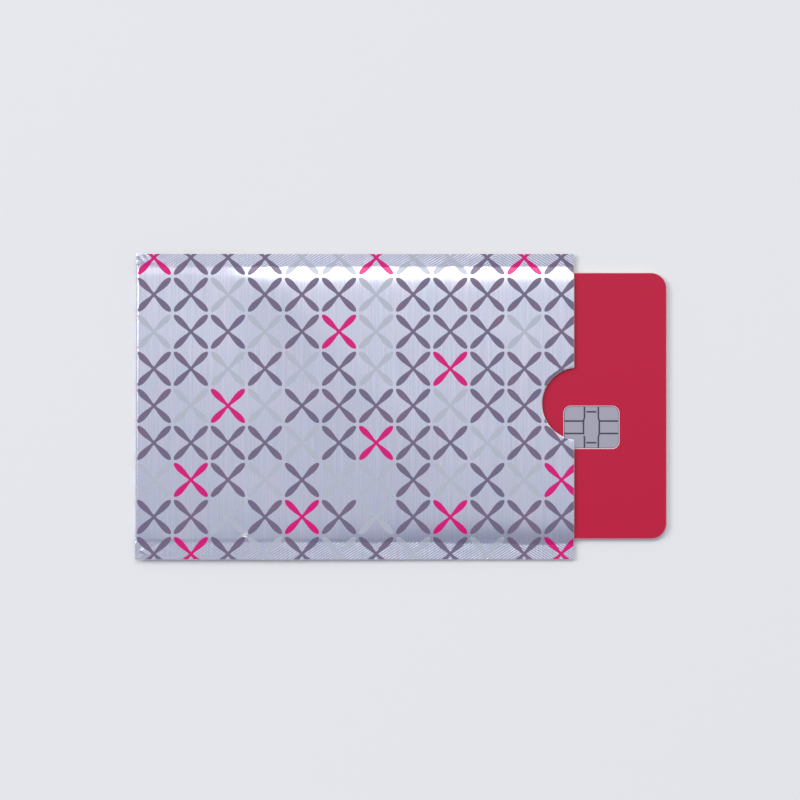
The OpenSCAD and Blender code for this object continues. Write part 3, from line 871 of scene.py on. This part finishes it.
fibreLook = {
    "seed": 7,
    "count": 18,
    "between": (-20.9, -9.6),   # where along the lower edge the knife left them
    "rooted": 0.05,             # how far inside it they start
    "length": (0.25, 0.85),
    "headings": (-140, -40),    # away from the sleeve
    "curl": 45,                 # most that one step turns, in degrees
    "droop": 0.2,
    "radius": 0.025,            # a little stouter than a real fibre, so that it shows
    "steps": 6,
    "sides": 5,
    "loopX": 21.7,              # one long fibre lies there in a loop
    "loopRadius": 0.33,
    "loopSteps": 15,
    "loopTurn": 24,
}


# a closed tube along points, as the points and faces that it adds to a mesh with so many points already
def tube(path, radius, sides, first):
    points, faces = [], []
    for i, place in enumerate(path):
        ahead = (Vector(path[min(i + 1, len(path) - 1)]) - Vector(path[max(i - 1, 0)])).normalized()
        across = ahead.cross(Vector((0, 0, 1))).normalized()
        over = across.cross(ahead)
        for j in range(sides):
            a = 2 * math.pi * j / sides
            points.append(tuple(Vector(place) + (across * math.cos(a) + over * math.sin(a)) * radius))
    for i in range(len(path) - 1):
        for j in range(sides):
            a, b = first + i * sides + j, first + i * sides + (j + 1) % sides
            faces.append((a, b, b + sides, a + sides))
    last = first + (len(path) - 1) * sides
    faces.append([first + j for j in reversed(range(sides))])
    faces.append([last + j for j in range(sides)])
    return points, faces


# fibres of the paper that stick out of the lower cut edge
def buildFrayedFibres():
    look = fibreLook
    draw = random.Random(look["seed"])
    paths = []
    for _ in range(look["count"]):
        x, y = draw.uniform(*look["between"]), lowerEdge + look["rooted"]
        z = sealHeight(x, y) + draw.choice([-1, 1]) * draw.uniform(filmDepth, wall - sleeveForm["foil"])
        heading, turn = draw.uniform(*look["headings"]), draw.uniform(-look["curl"], look["curl"])
        step = draw.uniform(*look["length"]) / look["steps"]
        path = [(x, y, z)]
        for i in range(look["steps"]):
            x += step * math.cos(math.radians(heading))
            y += step * math.sin(math.radians(heading))
            z -= look["droop"] * step
            heading += turn
            path.append((x, y, z))
        paths.append(path)
    loopX, reach = look["loopX"], look["loopRadius"]
    loopZ = sealHeight(loopX, lowerEdge) - filmDepth
    loop = [(loopX - 0.5, lowerEdge + look["rooted"], loopZ)]
    for i in range(look["loopSteps"]):
        a = math.radians(130 - look["loopTurn"] * i)
        loop.append((loopX + reach * math.cos(a), lowerEdge - 0.5 + reach * math.sin(a), loopZ - 0.01 * i))
    paths.append(loop)
    points, faces = [], []
    for path in paths:
        morePoints, moreFaces = tube(path, look["radius"], look["sides"], len(points))
        points += morePoints
        faces += moreFaces
    fibres = addPiece("frayedFibres", meshOf("frayedFibres", points, faces), "sleeve", [linerPaper])


buildFoil()
print("foil built")
buildLiner()
buildSealFilms()
buildFrayedFibres()
print("paper liner, seal films and fibres built")


# Offset-printed vinyl under a clear laminated film: even deep red with a soft satin gloss
cardRed = makeGrained("vinylPrintedAndLaminated", {
    "grain": (0.5, 0.5, 0.5), "colours": ("#BA0636", "#C0093B"), "roughness": (0.30, 0.38), "depth": 0.003,
    "fixed": {"IOR": 1.54, "Specular IOR Level": 0.3},
})

# Punched edge of the clear film over white vinyl: a pale pink line round the card and the chip
filmRim = makeGrained("vinylFilmPunchedEdge", {
    "grain": (0.15, 0.15, 0.15), "colours": ("#DD8CA2", "#EDB6C4"), "roughness": (0.3, 0.45), "depth": 0.004,
    "fixed": {"IOR": 1.54},
})

# The same film milled round the chip: a pinkish white line, its pale core colour brightened further as a
# painted highlight
milledRimWithPaintedHighlight = makeGrained("vinylFilmMilledEdgeWithPaintedHighlight", {
    "grain": (0.15, 0.15, 0.15), "colours": ("#EBC6D6", "#FBE4EE"), "roughness": (0.3, 0.45), "depth": 0.004,
    "fixed": {"IOR": 1.54},
})

# White card core, punched: dull, with the fine ledges of the laminated sheets
cardCore = makeGrained("vinylCorePunched", {
    "grain": (1.2, 1.2, 0.05), "colours": ("#E2DEDC", "#F2EFED"), "roughness": (0.5, 0.62), "depth": 0.006,
    "fixed": {"IOR": 1.54},
})

# Electroplated nickel under a flash of palladium: soft grey metal with a violet cast
contactPlating = makeGrained("nickelPalladiumPlated", {
    "grain": (0.09, 0.09, 0.09), "colours": ("#B1AFBE", "#BDBAC6"), "roughness": (0.36, 0.46), "depth": 0.002,
    "fixed": {"Metallic": 1.0},
})

# Woven glass and epoxy tape, etched bare between the contacts: dark, slightly glossy lines. It also covers
# the contacts' flanks and the recess wall, as painted shade in the gaps round the contacts
carrierTapeAndPaintedGapShade = makeGrained("glassEpoxyTapeEtchedAndPaintedGapShade", {
    "grain": (0.12, 0.12, 0.12), "colours": ("#343142", "#454253"), "roughness": (0.4, 0.55), "depth": 0.004,
    "fixed": {"IOR": 1.55},
})

# Magnetic slurry coating, calendered: brown black with a faint lengthwise drag
stripeCoating = makeGrained("ironOxideCoatingCalendered", {
    "grain": (6, 0.12, 0.12), "colours": ("#1B1614", "#2A2320"), "roughness": (0.3, 0.4), "depth": 0.002,
    "fixed": {"IOR": 1.6},
})

# Matt white lacquer, screen printed to take a pen: chalky, with the screen's fine weave
signatureLacquer = makeGrained("lacquerScreenPrintedMatt", {
    "grain": (0.18, 0.18, 0.18), "colours": ("#DCDAD2", "#EDEBE4"), "roughness": (0.75, 0.88), "depth": 0.006,
    "fixed": {"IOR": 1.5},
})

# Etched copper track: warm bright metal with a slightly dull skin
antennaCopper = makeGrained("copperTrackEtched", {
    "grain": (0.1, 0.1, 0.1), "colours": ("#B4684A", "#CC8360"), "roughness": (0.3, 0.45), "depth": 0.003,
    "fixed": {"Metallic": 1.0},
})

# Hot-melt adhesive, cooled: amber and slightly tacky looking
chipAdhesive = makeGrained("hotMeltAdhesiveCooled", {
    "grain": (0.3, 0.3, 0.3), "colours": ("#C9A96B", "#DBC08A"), "roughness": (0.3, 0.5), "depth": 0.004,
    "fixed": {"IOR": 1.5},
})

# Silicon die, ground and polished: dark blue grey mirror
siliconDie = makeGrained("siliconGroundAndPolished", {
    "grain": (0.05, 0.4, 0.05), "colours": ("#5A5F6C", "#6B7080"), "roughness": (0.15, 0.25), "depth": 0.001,
    "fixed": {"Metallic": 1.0},
})

# Black potting epoxy, cast over the die: smooth and glossy
pottingResin = makeGrained("epoxyPottingCast", {
    "grain": (0.4, 0.4, 0.4), "colours": ("#141416", "#1E1E21"), "roughness": (0.25, 0.4), "depth": 0.006,
    "fixed": {"IOR": 1.55},
})

cardFinishes = {
    "card_front_sheet": cardCore,
    "card_inlay": cardCore,
    "card_back_sheet": cardCore,
    "card_back_overlay": cardRed,
    "antenna_coil": antennaCopper,
    "magnetic_stripe": stripeCoating,
    "signature_panel": signatureLacquer,
    "chip_carrier": carrierTapeAndPaintedGapShade,
    "chip_adhesive": chipAdhesive,
    "chip_die": siliconDie,
    "chip_resin": pottingResin,
}
for nodeName, finish in cardFinishes.items():
    for materialSlot in nodes[nodeName].material_slots:
        materialSlot.material = finish
print("card materials made")


cardForm = {
    "cornerRadius": 3.18,
    "rim": 0.1,                # width of the pale line round the card
    "rimDrop": 0.035,
    "recessRim": 0.13,         # the bright one round the chip, brightened as a painted highlight
    "recessCorner": 1.35,
    "recessGap": 0.1,          # the recess tapers over it to the contacts,
    "recessClear": 0.01,       # and leaves this much round them at the bottom
    "cornerSteps": 12,
}


def roundedOutline(low, high, radius, steps):
    points = []
    for cx, cy, start in (
        (high[0] - radius, high[1] - radius, 0), (low[0] + radius, high[1] - radius, 90),
        (low[0] + radius, low[1] + radius, 180), (high[0] - radius, low[1] + radius, 270),
    ):
        for i in range(steps + 1):
            a = math.radians(start + 90 * i / steps)
            points.append((cx + radius * math.cos(a), cy + radius * math.sin(a)))
    return points


# the printed face under its film, with a chamfered rim outside and round the chip's recess
def buildCardFace():
    form = cardForm
    low, high = (v / mm for v in faceBox)
    plateLow, plateHigh = (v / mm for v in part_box("contact_pads"))
    gap = form["recessGap"]
    loops = []
    for inset, z in ((0, low.z), (0, high.z - form["rimDrop"]), (form["rim"], high.z)):
        outline = roundedOutline((low.x + inset, low.y + inset), (high.x - inset, high.y - inset),
                                 form["cornerRadius"] - inset, form["cornerSteps"])
        loops.append([(x, y, z) for x, y in outline])
    bottom = form["recessClear"] - gap
    for outset, z in ((form["recessRim"], high.z), (0, high.z - form["rimDrop"]), (bottom, low.z)):
        reach = gap + outset
        outline = roundedOutline(
            (plateLow.x - reach, plateLow.y - reach), (plateHigh.x + reach, plateHigh.y + reach),
            form["recessCorner"] + outset, form["cornerSteps"])
        loops.append([(x, y, z) for x, y in outline])
    count = len(loops[0])
    ringFinishes = (1, 1, 0, 2, 3, 0)  # edge, rim, face, rim of the recess with its painted highlight, its wall in dark tape as painted shade, underside
    faces, finishes = [], []
    for ring in range(len(loops)):
        nextRing = (ring + 1) % len(loops)
        for i in range(count):
            j = (i + 1) % count
            faces.append((ring * count + i, ring * count + j, nextRing * count + j, nextRing * count + i))
            finishes.append(ringFinishes[ring])
    mesh = meshOf("cardFace", [point for loop in loops for point in loop], faces, sharpAngle=8)
    face = addPiece("cardFace", mesh, "card", [cardRed, filmRim, milledRimWithPaintedHighlight, carrierTapeAndPaintedGapShade])
    mesh.polygons.foreach_set("material_index", finishes)
    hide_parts("card_front_overlay")


padForm = {
    "flank": 0.045,      # width of the etched flanks
    "flankSteps": 2,
    "flankFrom": 40,     # edges bent by more degrees than this have one
    "weld": 0.002,       # corners of the solid that are nearer than this are one
    "flat": 2,           # and faces bent by fewer degrees than this too
}


# the contacts with their edges rounded by the etching
def buildContactPads():
    mesh = nodes["contact_pads"].data.copy()
    mesh.materials.clear()
    work = bmesh.new()
    work.from_mesh(mesh)
    bmesh.ops.remove_doubles(work, verts=work.verts, dist=padForm["weld"] * mm)
    flat = math.radians(padForm["flat"])
    bmesh.ops.dissolve_limit(work, angle_limit=flat, verts=work.verts, edges=work.edges)
    work.to_mesh(mesh)
    work.free()
    pads = addPiece("contactPads", mesh, "card", [contactPlating, carrierTapeAndPaintedGapShade])
    rounding = pads.modifiers.new("etchedEdges", "BEVEL")
    rounding.width = padForm["flank"] * mm
    rounding.segments = padForm["flankSteps"]
    rounding.material = 1  # the flanks take the dark tape, as painted shade along the grooves and round the contacts
    rounding.limit_method = "ANGLE"
    rounding.angle_limit = math.radians(padForm["flankFrom"])
    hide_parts("contact_pads")


buildCardFace()
buildContactPads()
print("card built")
